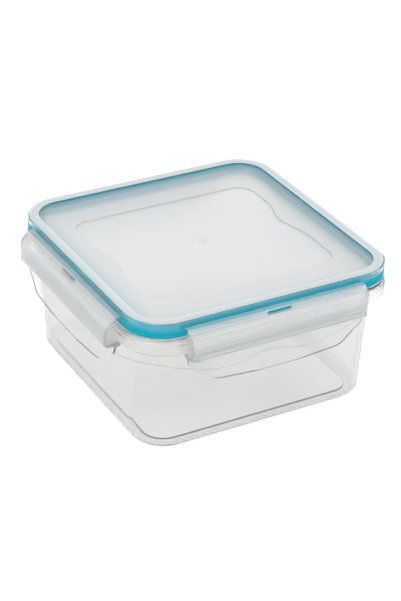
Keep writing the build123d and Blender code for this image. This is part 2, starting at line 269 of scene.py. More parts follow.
def square_rings(half, centre, height):
    """Rounded squares whose corner arcs are struck from `centre` out along X and Y."""
    half, centre = np.asarray(half, float), np.asarray(centre, float)
    return rings(half, half, half - centre, height)


def put_mesh(name, points, faces):
    """Make a mesh object with smooth shading from arrays of points and faces."""
    mesh = bpy.data.meshes.new(name)
    mesh.from_pydata(points.tolist(), [], faces)
    mesh.validate()
    mesh.shade_smooth()
    piece = bpy.data.objects.new(name, mesh)
    bpy.context.scene.collection.objects.link(piece)
    return piece


def join_rings(name, grid, closed=False):
    """Skin over rings. Ring i is joined to ring i + 1 by quads, and the last point of a ring to
    its first. A closed skin joins the last ring to the first, as in a torus. An open skin ends
    in a point at the middle of its first and of its last ring."""
    rows, count = grid.shape[:2]
    number = np.arange(rows * count).reshape(rows, count)
    low = number if closed else number[:-1]
    high = np.roll(number, -1, axis=0) if closed else number[1:]
    quads = np.stack([low, np.roll(low, -1, 1), np.roll(high, -1, 1), high], axis=2)
    faces = quads.reshape(-1, 4).tolist()
    points = grid.reshape(-1, 3)
    if not closed:
        middles = grid[[0, -1]].mean(axis=1)
        first, last = rows * count, rows * count + 1
        points = np.concatenate([points, middles])
        start, end = number[0], number[-1]
        faces += np.stack([np.full(count, first), np.roll(start, -1), start], 1).tolist()
        faces += np.stack([np.full(count, last), end, np.roll(end, -1)], 1).tolist()
    return put_mesh(name, points, faces)


def prism(name, outline, start, end, place, lengths=1):
    """Solid with a flat outline, run from start to end in equal lengths. `place` turns (first,
    second, run) into points, and the two end faces close it."""
    count = len(outline)
    run = np.repeat(np.linspace(start, end, lengths + 1), count)
    first, second = (np.tile(outline[:, k], lengths + 1) for k in (0, 1))
    points = place(first, second, run)
    number = np.arange((lengths + 1) * count).reshape(lengths + 1, count)
    low, high = number[:-1], number[1:]
    quads = np.stack([low, np.roll(low, -1, 1), np.roll(high, -1, 1), high], axis=2)
    faces = quads.reshape(-1, 4).tolist()
    faces += [number[0, ::-1].tolist(), number[-1].tolist()]
    piece = put_mesh(name, points, faces)
    mend_normals(piece.data)
    return piece


def mend_normals(mesh):
    """Merge doubled points and turn every face outwards."""
    work = bmesh.new()
    work.from_mesh(mesh)
    bmesh.ops.remove_doubles(work, verts=work.verts, dist=0.002 * MM)
    bmesh.ops.recalc_face_normals(work, faces=work.faces)
    work.to_mesh(mesh)
    work.free()


def combine(body, tool, operation):
    """Join, cut or intersect body with tool, which is used up."""
    step = body.modifiers.new("Combine", "BOOLEAN")
    step.operation = operation
    step.solver = "EXACT"
    step.object = tool
    depsgraph = bpy.context.evaluated_depsgraph_get()
    mesh = bpy.data.meshes.new_from_object(body.evaluated_get(depsgraph))
    body.modifiers.clear()
    old, body.data = body.data, mesh
    bpy.data.meshes.remove(old)
    tool_mesh = tool.data
    bpy.data.objects.remove(tool)
    bpy.data.meshes.remove(tool_mesh)


def along_side(out, up, across):
    """Points of a section of the front side: across is X, out is away from the middle."""
    return np.stack([across, -out, up], axis=1)


def front_view(across, up, out):
    """Points of an outline drawn on the front side, seen from outside."""
    return np.stack([across, -out, up], axis=1)


def turned(mesh, degrees):
    """Copy of a mesh turned about the upright axis."""
    copy = mesh.copy()
    copy.transform(Matrix.Rotation(math.radians(degrees), 4, "Z"))
    return copy


# Shader node groups


def group_socket(group, name, kind, direction, default=None):
    """Add a named input or output to a node group."""
    socket = group.interface.new_socket(name=name, in_out=direction, socket_type=kind)
    if default is not None:
        socket.default_value = default
    return socket


def grain_group():
    """Fine moulded grain: two sizes of noise added up, as a height and as a mask."""
    name = "Moulded grain"
    if name in bpy.data.node_groups:
        return bpy.data.node_groups[name]
    group = bpy.data.node_groups.new(name, "ShaderNodeTree")
    group_socket(group, "Scale", "NodeSocketFloat", "INPUT", 1500.0)
    group_socket(group, "Coarseness", "NodeSocketFloat", "INPUT", 0.3)
    group_socket(group, "Height", "NodeSocketFloat", "OUTPUT")
    group_socket(group, "Mask", "NodeSocketFloat", "OUTPUT")
    nodes, links = group.nodes, group.links
    enter, leave = nodes.new("NodeGroupInput"), nodes.new("NodeGroupOutput")
    where = nodes.new("ShaderNodeTexCoord")
    fine, coarse = nodes.new("ShaderNodeTexNoise"), nodes.new("ShaderNodeTexNoise")
    fine.inputs["Detail"].default_value = 2.0
    coarse.inputs["Scale"].default_value = 220.0
    both = nodes.new("ShaderNodeMix")
    both.data_type = "FLOAT"
    steps = nodes.new("ShaderNodeMapRange")
    steps.inputs["From Min"].default_value = 0.35
    steps.inputs["From Max"].default_value = 0.65
    links.new(where.outputs["Object"], fine.inputs["Vector"])
    links.new(where.outputs["Object"], coarse.inputs["Vector"])
    links.new(enter.outputs["Scale"], fine.inputs["Scale"])
    links.new(enter.outputs["Coarseness"], both.inputs[0])
    links.new(fine.outputs["Fac"], both.inputs[2])
    links.new(coarse.outputs["Fac"], both.inputs[3])
    links.new(both.outputs[0], leave.inputs["Height"])
    links.new(both.outputs[0], steps.inputs["Value"])
    links.new(steps.outputs["Result"], leave.inputs["Mask"])
    return group


def flow_group():
    """Slow flow marks of moulded plastic: stretched noise between two roughness values."""
    name = "Mould flow"
    if name in bpy.data.node_groups:
        return bpy.data.node_groups[name]
    group = bpy.data.node_groups.new(name, "ShaderNodeTree")
    group_socket(group, "Scale", "NodeSocketFloat", "INPUT", 18.0)
    group_socket(group, "Smooth", "NodeSocketFloat", "INPUT", 0.05)
    group_socket(group, "Rough", "NodeSocketFloat", "INPUT", 0.15)
    group_socket(group, "Roughness", "NodeSocketFloat", "OUTPUT")
    group_socket(group, "Height", "NodeSocketFloat", "OUTPUT")
    nodes, links = group.nodes, group.links
    enter, leave = nodes.new("NodeGroupInput"), nodes.new("NodeGroupOutput")
    where = nodes.new("ShaderNodeTexCoord")
    stretch = nodes.new("ShaderNodeMapping")
    stretch.inputs["Scale"].default_value = (1.0, 1.0, 0.35)
    cloud = nodes.new("ShaderNodeTexNoise")
    cloud.inputs["Detail"].default_value = 3.0
    cloud.inputs["Distortion"].default_value = 0.6
    span = nodes.new("ShaderNodeMapRange")
    span.inputs["From Min"].default_value = 0.3
    span.inputs["From Max"].default_value = 0.7
    links.new(where.outputs["Object"], stretch.inputs["Vector"])
    links.new(stretch.outputs["Vector"], cloud.inputs["Vector"])
    links.new(enter.outputs["Scale"], cloud.inputs["Scale"])
    links.new(cloud.outputs["Fac"], span.inputs["Value"])
    links.new(enter.outputs["Smooth"], span.inputs["To Min"])
    links.new(enter.outputs["Rough"], span.inputs["To Max"])
    links.new(span.outputs["Result"], leave.inputs["Roughness"])
    links.new(cloud.outputs["Fac"], leave.inputs["Height"])
    return group


def place_group(material, group, values):
    """Put a node group in a material with its own input values."""
    node = material.node_tree.nodes.new("ShaderNodeGroup")
    node.node_tree = group
    for name, value in values.items():
        node.inputs[name].default_value = value
    return node


def add_bump(material, shader, height, distance, strength):
    """Let a height disturb the shader's normal."""
    bump = material.node_tree.nodes.new("ShaderNodeBump")
    bump.inputs["Distance"].default_value = distance
    bump.inputs["Strength"].default_value = strength
    material.node_tree.links.new(height, bump.inputs["Height"])
    material.node_tree.links.new(bump.outputs["Normal"], shader.inputs["Normal"])


def fresh_material(name):
    """An empty material with a Principled shader, kept if it is there already."""
    if name in bpy.data.materials:
        return bpy.data.materials[name], None
    material = bpy.data.materials.new(name)
    material.use_nodes = True
    return material, material.node_tree.nodes["Principled BSDF"]


def let_light_through(material, shader, colour):
    """Shadow rays pass the plastic with only its tint, as light does in a thin clear wall."""
    nodes, links = material.node_tree.nodes, material.node_tree.links
    path = nodes.new("ShaderNodeLightPath")
    gap = nodes.new("ShaderNodeBsdfTransparent")
    gap.inputs["Color"].default_value = (*colour, 1.0)
    mix = nodes.new("ShaderNodeMixShader")
    links.new(path.outputs["Is Shadow Ray"], mix.inputs["Fac"])
    links.new(shader.outputs["BSDF"], mix.inputs[1])
    links.new(gap.outputs["BSDF"], mix.inputs[2])
    links.new(mix.outputs["Shader"], nodes["Material Output"].inputs["Surface"])


def paint_edge_shade(material, shader, colour, share):
    """Painted shade: a tint that deepens to a share of itself where a wall is seen edge-on,
    standing in for the grey edges that the clear walls show there."""
    nodes, links = material.node_tree.nodes, material.node_tree.links
    weight = nodes.new("ShaderNodeLayerWeight")
    weight.inputs["Blend"].default_value = 0.3
    sharper = nodes.new("ShaderNodeMath")
    sharper.operation = "POWER"
    sharper.inputs[1].default_value = 2.0
    tone = nodes.new("ShaderNodeMix")
    tone.data_type = "RGBA"
    tone.inputs[MIX_FIRST].default_value = (*colour, 1.0)
    tone.inputs[MIX_SECOND].default_value = (*[share * c for c in colour], 1.0)
    links.new(weight.outputs["Facing"], sharper.inputs[0])
    links.new(sharper.outputs[0], tone.inputs[MIX_SHARE])
    links.new(tone.outputs[MIX_RESULT], shader.inputs["Base Color"])


def rim_glow_group():
    """Painted light: the sealing ring's teal glow on the plastic beside it, through a mask that rises
    with the distance from the lid's middle, measured square to its sides."""
    name = "Rim glow"
    if name in bpy.data.node_groups:
        return bpy.data.node_groups[name]
    group = bpy.data.node_groups.new(name, "ShaderNodeTree")
    group_socket(group, "Start", "NodeSocketFloat", "INPUT", 0.058)
    group_socket(group, "End", "NodeSocketFloat", "INPUT", 0.07)
    group_socket(group, "Plain", "NodeSocketColor", "INPUT")
    group_socket(group, "Glow colour", "NodeSocketColor", "INPUT")
    group_socket(group, "Colour", "NodeSocketColor", "OUTPUT")
    nodes, links = group.nodes, group.links
    enter, leave = nodes.new("NodeGroupInput"), nodes.new("NodeGroupOutput")
    where, parts = nodes.new("ShaderNodeTexCoord"), nodes.new("ShaderNodeSeparateXYZ")
    reach = nodes.new("ShaderNodeMath")
    reach.operation = "MAXIMUM"
    links.new(where.outputs["Object"], parts.inputs["Vector"])
    for axis in (0, 1):
        size = nodes.new("ShaderNodeMath")
        size.operation = "ABSOLUTE"
        links.new(parts.outputs[axis], size.inputs[0])
        links.new(size.outputs[0], reach.inputs[axis])
    ramp, tone = nodes.new("ShaderNodeMapRange"), nodes.new("ShaderNodeMix")
    ramp.interpolation_type = "SMOOTHSTEP"
    tone.data_type = "RGBA"
    links.new(reach.outputs[0], ramp.inputs["Value"])
    links.new(enter.outputs["Start"], ramp.inputs["From Min"])
    links.new(enter.outputs["End"], ramp.inputs["From Max"])
    links.new(ramp.outputs["Result"], tone.inputs[MIX_SHARE])
    links.new(enter.outputs["Plain"], tone.inputs[MIX_FIRST])
    links.new(enter.outputs["Glow colour"], tone.inputs[MIX_SECOND])
    links.new(tone.outputs[MIX_RESULT], leave.inputs["Colour"])
    return group


def clear_material(colours, name, tone, transmission, rough):
    """Clear polished plastic of the tub, with slow flow marks and painted shade on walls seen edge-on.
    `tone` darkens its tint, as painted shade on the lower outside edge and along the wavy line."""
    material, shader = fresh_material(name)
    if shader is None:
        return material
    # Painted shade: the tint darkens where a wall is seen edge-on.
    paint_edge_shade(material, shader, [tone * c for c in colours.clear], 0.55)
    shader.inputs["IOR"].default_value = 1.5
    shader.inputs["Transmission Weight"].default_value = transmission
    flow = place_group(material, flow_group(), {"Scale": 14.0, "Smooth": 0.03, "Rough": rough})
    links = material.node_tree.links
    links.new(flow.outputs["Roughness"], shader.inputs["Roughness"])
    add_bump(material, shader, flow.outputs["Height"], 0.6 * MM, 0.1)
    let_light_through(material, shader, (0.94, 0.945, 0.945))
    return material


def frosted_material(colours, name, transmission, smooth, rough, grain, tone, shine):
    """Milky plastic of the lid and latches: grain on the surface, flow marks in its gloss.
    `tone` scales its colour and `shine` the strength of its reflections."""
    material, shader = fresh_material(name)
    if shader is None:
        return material
    shader.inputs["Base Color"].default_value = (*[tone * c for c in colours.frosted], 1.0)
    shader.inputs["IOR"].default_value = 1.49
    shader.inputs["Specular IOR Level"].default_value = shine
    shader.inputs["Transmission Weight"].default_value = transmission
    flow = place_group(material, flow_group(), {"Scale": 26.0, "Smooth": smooth, "Rough": rough})
    texture = place_group(material, grain_group(), {"Scale": 1400.0, "Coarseness": 0.3})
    links = material.node_tree.links
    links.new(flow.outputs["Roughness"], shader.inputs["Roughness"])
    add_bump(material, shader, texture.outputs["Height"], 0.05 * MM, grain)
    let_light_through(material, shader, (0.92, 0.93, 0.935))
    return material


def rubber_material(colours):
    """Soft satin sealing rubber with a fine grain and slightly paler worn spots."""
    material, shader = fresh_material("Teal rubber")
    if shader is None:
        return material
    links = material.node_tree.links
    texture = place_group(material, grain_group(), {"Scale": 900.0, "Coarseness": 0.5})
    tone = material.node_tree.nodes.new("ShaderNodeMix")
    tone.data_type = "RGBA"
    tone.inputs[MIX_FIRST].default_value = (*colours.rubber, 1.0)
    tone.inputs[MIX_SECOND].default_value = (*[0.92 * c + 0.02 for c in colours.rubber], 1.0)
    links.new(texture.outputs["Mask"], tone.inputs[MIX_SHARE])
    links.new(tone.outputs[MIX_RESULT], shader.inputs["Base Color"])
    shader.inputs["Roughness"].default_value = 0.42
    shader.inputs["Specular IOR Level"].default_value = 0.08
    add_bump(material, shader, texture.outputs["Height"], 0.04 * MM, 0.3)
    return material


def seen_white(tree):
    """1 for camera, glossy and transmission rays and 0 for the rays that carry light."""
    nodes, links = tree.nodes, tree.links
    path = nodes.new("ShaderNodeLightPath")
    first, second = nodes.new("ShaderNodeMath"), nodes.new("ShaderNodeMath")
    first.operation = second.operation = "MAXIMUM"
    links.new(path.outputs["Is Camera Ray"], first.inputs[0])
    links.new(path.outputs["Is Glossy Ray"], first.inputs[1])
    links.new(first.outputs[0], second.inputs[0])
    links.new(path.outputs["Is Transmission Ray"], second.inputs[1])
    return second.outputs[0]


# Pieces


def wave_height(sizes):
    """Height of the wavy line at each point of a ring.

    Within 22 mm of a side's middle it is a raised cosine, with its crest at the middle. From
    there it climbs to the corner with the square of the distance, and round the corner a half
    sine lifts it a little more.
    """
    across = np.tile(np.abs(RING_SIDE), 4) * TUB_CENTRE
    trough, reach, climb, rise = 43.3 * MM, 22.0 * MM, 7.8, 3.2 * MM
    crest = sizes.wave_height * (1 + np.cos(math.pi * np.minimum(across, reach) / reach))
    slope = climb * np.maximum(across - reach, 0.0) ** 2
    return trough + crest + slope + rise * np.sin(math.pi * RING_CORNER)


def tub_rings(sizes):
    """Rings of the tub, from the middle of its underside, up the outside, over the rim and down
    the inside to the middle of the floor. The wall's half-width grows by tan(draft) per height.
    The rings near the wavy line follow its height, and those above it stand a step further out.
    Returns the rings and the number of the first ring of the wavy line.
    """
    fine = sizes.edge_round
    step = sizes.wave_step
    wall = lambda z: TUB_BASE_HALF + z * DRAFT
    inner = lambda z: wall(z) - TUB_WALL
    ledge, flange_in = SEAT - 1.6 * MM, FLANGE_HALF - 1.7 * MM
    upper, middle = SEAT - 2.0 * MM, SEAT - 4.0 * MM
    bite, groove = 1.2 * MM, 0.45 * MM
    lip_in, lip_out = RIM_LIP_HALF, RIM_LIP_HALF + 1.2 * MM
    floor_low, floor_high = 1.8 * MM, 2.6 * MM
    t, c = TUB_CENTRE, CORNER_CENTRE

    lower = [
        (20 * MM, 0.8 * MM, 0.2 * MM), (FOOT_HALF, 0.8 * MM, 0.2 * MM),
        (FOOT_HALF, 0.0, 0.2 * MM), (TUB_BASE_HALF, 0.0, sizes.base_round),
        (wall(30 * MM), 30 * MM, fine)]
    path, _ = soften([p[:2] for p in lower], [p[2] for p in lower], steps=8)
    low = square_rings(path[:, 0], np.minimum(t, path[:, 0] - 8 * MM), path[:, 1])

    wave = wave_height(sizes)
    rises = np.array([-1.5, -0.42, -0.24, 0.0, 0.24, 0.42, 1.5]) * MM
    share = np.array([0.0, 0.0, 0.04, 0.5, 0.96, 1.0, 1.0])
    band_height = wave[None, :] + rises[:, None]
    band = square_rings(wall(46 * MM) + step * share, np.full(len(share), t), 46 * MM + 0 * share)
    slide = (band_height - 46 * MM) * DRAFT
    band[:, :, 0] += slide * RING_NORMAL[:, 0]
    band[:, :, 1] += slide * RING_NORMAL[:, 1]
    band[:, :, 2] = band_height

    rim = [
        (wall(56 * MM) + step, 56 * MM, fine, t), (wall(ledge) + step, ledge, 0.8 * MM, t),
        (flange_in, ledge, 0.4 * MM, c), (flange_in, FLANGE_LOW, 0.2 * MM, c),
        (FLANGE_HALF - bite, FLANGE_LOW, 0.2 * MM, c),
        (FLANGE_HALF, FLANGE_LOW + bite, 0.3 * MM, c),
        (FLANGE_HALF, middle, 0.2 * MM, c), (FLANGE_HALF - groove, middle, 0.1 * MM, c),
        (FLANGE_HALF - groove, upper, 0.2 * MM, c), (FLANGE_HALF - 2 * groove, upper, 0.1 * MM, c),
        (FLANGE_HALF - 2 * groove, SEAT, 0.3 * MM, c), (lip_out, SEAT, 0.2 * MM, c),
        (lip_out, RIM_LIP_TOP, 0.5 * MM, c), (lip_in, RIM_LIP_TOP, 0.5 * MM, c),
        (lip_in, SEAT, 0.15 * MM, c), (inner(SEAT), SEAT, 0.3 * MM, t),
        (inner(floor_low), floor_low, 3.0 * MM, t),
        (FOOT_HALF, floor_low, 0.25 * MM, t), (FOOT_HALF, floor_high, 0.3 * MM, t),
        (20 * MM, floor_high, 0.2 * MM, t)]
    path, number = soften([p[:2] for p in rim], [p[2] for p in rim], steps=6)
    centre = np.array([p[3] for p in rim])[number]
    centre = np.minimum(centre, path[:, 0] - 8 * MM)
    high = square_rings(path[:, 0], centre, path[:, 1])
    return np.concatenate([low, band, high]), len(low)


def grip_shift(points, sizes):
    """How far a window outline's points move inwards at the finger grips.

    Along Y a grip is half a cosine wave, one from its near end to its crest and a steeper one
    from the crest to its far end, so it reads as a slanting thumb notch.
    """
    near, crest, far = -19 * MM, 5 * MM, 24 * MM
    y = points[..., 1]
    rise = np.clip((y - near) / (crest - near), 0, 1)
    fall = np.clip((far - y) / (far - crest), 0, 1)
    swell = (0.5 - 0.5 * np.cos(math.pi * rise)) * (0.5 - 0.5 * np.cos(math.pi * fall))
    on_side = np.abs(RING_NORMAL[:, 0]) > 0.999
    return -np.sign(points[..., 0]) * sizes.grip_depth * swell * on_side


def window_rings(sizes, insets, heights):
    """Rings of the window's edge: rounded rectangles with the grips, set in by `insets`."""
    insets = np.asarray(insets)
    grid = rings(sizes.window_width / 2 - insets, sizes.window_depth / 2 - insets,
                 10 * MM - insets, np.asarray(heights))
    grid[..., 0] += grip_shift(grid, sizes)
    return grid


def lid_rings(sizes):
    """Rings of the lid, from the middle of its underside, round the plug, the channel and the rim
    to the recessed panel, then down the window's step to the gate mark in the middle.
    Returns the rings and the number of the first ring of the window."""
    c = CORNER_CENTRE
    fine = sizes.edge_round
    plug, channel = RECESS_HALF + 1.2 * MM, LID_HALF - 1.2 * MM
    milky = PANEL_TOP + MILKY_RISE
    rim = [
        (20 * MM, PANEL_LOW, fine), (RECESS_HALF, PANEL_LOW, 0.4 * MM),
        (RECESS_HALF, PLUG_LOW, 0.2 * MM), (plug, PLUG_LOW, 0.3 * MM),
        (plug, CHANNEL_TOP, 0.2 * MM), (channel, CHANNEL_TOP, 0.2 * MM),
        (channel, RIM_LOW, 0.2 * MM), (LID_HALF, RIM_LOW, 0.3 * MM),
        (LID_HALF, LID_TOP, sizes.rim_round), (RECESS_HALF, LID_TOP, 0.5 * MM),
        (RECESS_HALF - 0.03 * MM, milky, 0.1 * MM), (RECESS_HALF, PANEL_TOP, 0.8 * MM),
        (62 * MM, PANEL_TOP, fine)]
    path, _ = soften([p[:2] for p in rim], [p[2] for p in rim], steps=8)
    centre = np.minimum(c, path[:, 0] - 8 * MM)
    outer = square_rings(path[:, 0], centre, path[:, 1])

    low = PANEL_TOP - 0.5 * MM
    soft = 0.18 * MM
    edge = window_rings(
        sizes, [-0.8 * MM, -0.1 * MM, 0.0, soft / 2, soft * 1.2, soft * 2, 0.8 * MM],
        [PANEL_TOP, PANEL_TOP, PANEL_TOP - 0.02 * MM, PANEL_TOP - 0.1 * MM,
         low + 0.1 * MM, low, low])
    radii = np.array([30.0, 8.0, 2.5, 2.2, 2.1, 1.7, 1.6, 1.2]) * MM
    depth = np.array([0, 0, 0, 0.08, 0.25, 0.25, 0.08, 0.0]) * MM
    mark = rings(radii, radii, np.minimum(radii, 8 * MM), low - depth)
    return np.concatenate([outer, edge, mark]), len(outer) + 4


def gasket_rings(sizes):
    """Rings of the gasket, round its section: two legs over the tub's rim lip, the crown in the
    lid's channel and the bead that shows between lid and tub. The bead's face is softly crowned."""
    inner, outer = RECESS_HALF + 1.3 * MM, LID_HALF - 1.3 * MM
    groove_in, groove_out = RIM_LIP_HALF - 0.3 * MM, RIM_LIP_HALF + 1.5 * MM
    roof = RIM_LIP_TOP + 0.3 * MM
    section = [
        (inner, GASKET_LOW, 0.2), (groove_in, GASKET_LOW, 0.2), (groove_in, roof, 0.2),
        (groove_out, roof, 0.2), (groove_out, GASKET_LOW, 0.2), (BEAD_HALF, GASKET_LOW, 0.7),
        (BEAD_HALF, RIM_LOW, 0.35), (outer, RIM_LOW, 0.1), (outer, GASKET_TOP, 0.4),
        (inner, GASKET_TOP, 0.4)]
    path, _ = soften([p[:2] for p in section], [p[2] * MM for p in section], 6, closed=True)
    return square_rings(path[:, 0], np.full(len(path), CORNER_CENTRE), path[:, 1])


def latch_section():
    """Section of a latch in (out, up): sloped roof, bulged band, catch rail and flared lip."""
    wall, roof = 1.3 * MM, math.radians(45)
    skin = np.array([wall * math.sin(roof), wall * math.cos(roof)])
    start = np.array(LATCH_CREASE) + skin / 2
    bulge_radius = 8.5 * MM
    turn_out = BAND_OUT - bulge_radius * (1 - math.sin(roof))
    turn = np.array([turn_out, start[1] - (turn_out - start[0]) * math.tan(roof)])
    bulge_up = turn[1] - bulge_radius * math.cos(roof)
    # The corner that the roof and the band would meet in, rounded by the bulge's arc.
    corner_up = bulge_up + bulge_radius * math.tan((math.pi / 2 - roof) / 2)
    inner_corner = corner_up - wall * math.tan((math.pi / 2 - roof) / 2)
    catch_up = FLANGE_LOW - 0.4 * math.sqrt(2) * MM
    nose, bite = 0.5 * MM, 1.2 * MM
    rail_top, rail_low = catch_up + nose, catch_up + nose - 1.7 * MM
    lip_out = BAND_OUT - LIP_STEP
    bend = rail_low - 8.7 * MM
    band_in = BAND_OUT - wall
    ends = 0.15
    section = [
        (*(start - skin), ends), (*start, ends), (BAND_OUT, corner_up, bulge_radius / MM),
        (BAND_OUT, rail_low, 1.6), (lip_out, rail_low, 0.6), (lip_out + 0.8 * MM, bend, 40.0),
        (lip_out + 2.8 * MM, LIP_LOW, 0.4), (lip_out + 2.8 * MM - wall, LIP_LOW, 0.4),
        (lip_out + 0.8 * MM - wall, bend, 40.0),
        (lip_out - wall, catch_up - nose - 1.1 * MM, 0.15),
        (CATCH_OUT + nose, catch_up - nose - 1.1 * MM, 0.15),
        (CATCH_OUT, catch_up - 1.1 * MM, 0.15), (CATCH_OUT, catch_up, 0.15),
        (CATCH_OUT + bite + nose, catch_up + bite + nose, 0.15),
        (CATCH_OUT + bite + 2 * nose, catch_up + bite + nose, 0.15),
        (CATCH_OUT + bite + 3 * nose, rail_top, 0.15), (band_in, rail_top, 0.4),
        (band_in, inner_corner, bulge_radius / MM - 1.3)]
    path, _ = soften([p[:2] for p in section], [p[2] * MM for p in section], 8, closed=True)
    return path, rail_low, rail_top, bulge_up, turn


def latch_outline(rail_low):
    """Front view of a latch in (across, up): the lip starts as long as the band and narrows in
    one sloping curve to its low edge."""
    band = LATCH_HALF_LENGTH
    corners = [
        (band, LID_TOP, 0.2), (band, rail_low, 1.0), (band - 0.9 * MM, rail_low - 4.8 * MM, 6.0),
        (band - 14.7 * MM, rail_low - 14.3 * MM, 12.0), (10 * MM, LIP_LOW, 20.0)]
    right = np.array(corners)
    left = right[::-1] * [-1, 1, 1]
    both = np.concatenate([right, left])
    path, _ = soften(both[:, :2], both[:, 2] * MM, steps=8, closed=True)
    return path


def plan_view(across, out, up):
    """Points of an outline drawn from above, on the front side."""
    return np.stack([across, -out, up], axis=1)


def latch_mesh():
    """Mesh of the front latch: its section run along X, cut to the front outline and to a plan
    with round ends, with an end cheek at each side, the notch in the roof and a small rib at
    each end of the lip. Returns the mesh and the height where the band ends."""
    section, rail_low, rail_top, bulge_up, turn = latch_section()
    body = prism("Latch", section, -LATCH_HALF_LENGTH, LATCH_HALF_LENGTH, along_side, 26)
    frame_cut = prism("Outline", latch_outline(rail_low), 60 * MM, 90 * MM, front_view)
    combine(body, frame_cut, "INTERSECT")
    skin, cheek = 0.65 * MM, 1.4 * MM
    cheek_out = FLANGE_HALF + 0.7 * MM
    wall = np.array([
        (BAND_OUT - skin, bulge_up), (BAND_OUT - skin, rail_top - skin),
        (cheek_out + 0.5 * MM, rail_top - skin), (cheek_out, rail_top + 1.2 * MM),
        (cheek_out, LATCH_CREASE[1] - 1.2 * MM), (turn[0] - 0.7 * skin, turn[1] - 0.7 * skin)])
    for start in (-LATCH_HALF_LENGTH, LATCH_HALF_LENGTH - cheek):
        combine(body, prism("Cheek", wall, start, start + cheek, along_side), "UNION")
    rib, place, lip_face = 0.4 * MM, 45.5 * MM, BAND_OUT - LIP_STEP
    for middle in (-place, place):
        post = np.array([(-rib, -3.3 * MM), (rib, -3.3 * MM), (rib, -0.2 * MM), (-rib, -0.2 * MM)])
        post += [middle, rail_low]
        combine(body, prism("Rib", post, lip_face - 0.3 * MM, lip_face + 0.9 * MM, front_view), "UNION")
    plan = np.array([
        (-LATCH_HALF_LENGTH, 60 * MM, 1.0), (LATCH_HALF_LENGTH, 60 * MM, 1.0),
        (LATCH_HALF_LENGTH, BAND_OUT, 3.0), (-LATCH_HALF_LENGTH, BAND_OUT, 3.0)])
    plan, _ = soften(plan[:, :2], plan[:, 2] * MM, steps=8, closed=True)
    combine(body, prism("Plan", plan, 30 * MM, 90 * MM, plan_view), "INTERSECT")
    half, high, drop = 7.25 * MM, LATCH_CREASE[1] - 0.1 * MM, 2.1 * MM
    notch = [(-half, high), (-half, high - drop), (half, high - drop), (half, high)]
    notch, _ = soften(notch, np.array([0.2, 0.7, 0.7, 0.2]) * MM, closed=True)
    combine(body, prism("Notch", notch, 70 * MM, 90 * MM, front_view), "DIFFERENCE")
    mend_normals(body.data)
    mesh = body.data
    bpy.data.objects.remove(body)
    return mesh, rail_low


def web_mesh():
    """Mesh of the front hinge web: a thin strip with round edges between the two creases."""
    first, last = np.array(LID_CREASE), np.array(LATCH_CREASE)
    run = (last - first) / np.linalg.norm(last - first)
    over = np.array([-run[1], run[0]]) * 0.4 * MM
    ends = run * 0.4 * MM
    strip = [first - ends + over, last + ends + over, last + ends - over, first - ends - over]
    path, _ = soften(strip, 0.38 * MM, steps=6, closed=True)
    web = prism("Web", path, -LATCH_HALF_LENGTH, LATCH_HALF_LENGTH, along_side)
    mesh = web.data
    bpy.data.objects.remove(web)
    return mesh


def finish_piece(piece, body, nodes):
    """Let a piece ride on its body in place of its CAD nodes."""
    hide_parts(*nodes)
    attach(piece, body)


# Operators


class MakeTub(Operator):
    """Make the clear tub with its flange, rim lip, foot and wavy line"""

    bl_idname = "foodbox.make_tub"
    bl_label = "Make tub"

    def execute(self, context):
        colours = context.scene.foodbox_colours
        grid, line_ring = tub_rings(context.scene.foodbox_sizes)
        tub = join_rings("Clear_tub", grid)
        # name, tone, transmission, roughest; a tone below 1 is painted shade
        finishes = [
            ("Clear plastic", 1.0, 0.96, 0.1), ("Base edge painted shade", 0.9, 0.8, 0.2),
            ("Wavy line painted shade", 0.55, 0.9, 0.1)]
        for finish in finishes:
            tub.data.materials.append(clear_material(colours, *finish))
        level = (grid[:-1, 0, 2] + grid[1:, 0, 2]) / 2
        out = np.abs(grid[:-1, 0, 1] + grid[1:, 0, 1]) / 2
        mark = np.zeros(len(level), dtype=np.int32)
        outside = np.arange(len(level)) < line_ring
        # Painted shade: the tub's lower outside edge takes the darker base-edge finish.
        mark[outside & (level < 4.6 * MM) & (out > FOOT_HALF + 0.5 * MM)] = 1
        # Painted shade: the rings of the wavy line's step take the dark finish.
        mark[line_ring + 1:line_ring + 5] = 2
        count = grid.shape[1]
        ends = np.zeros(2 * count, dtype=np.int32)
        tub.data.polygons.foreach_set("material_index", np.concatenate([np.repeat(mark, count), ends]))
        finish_piece(tub, "tub", ["tub"])
        return {"FINISHED"}


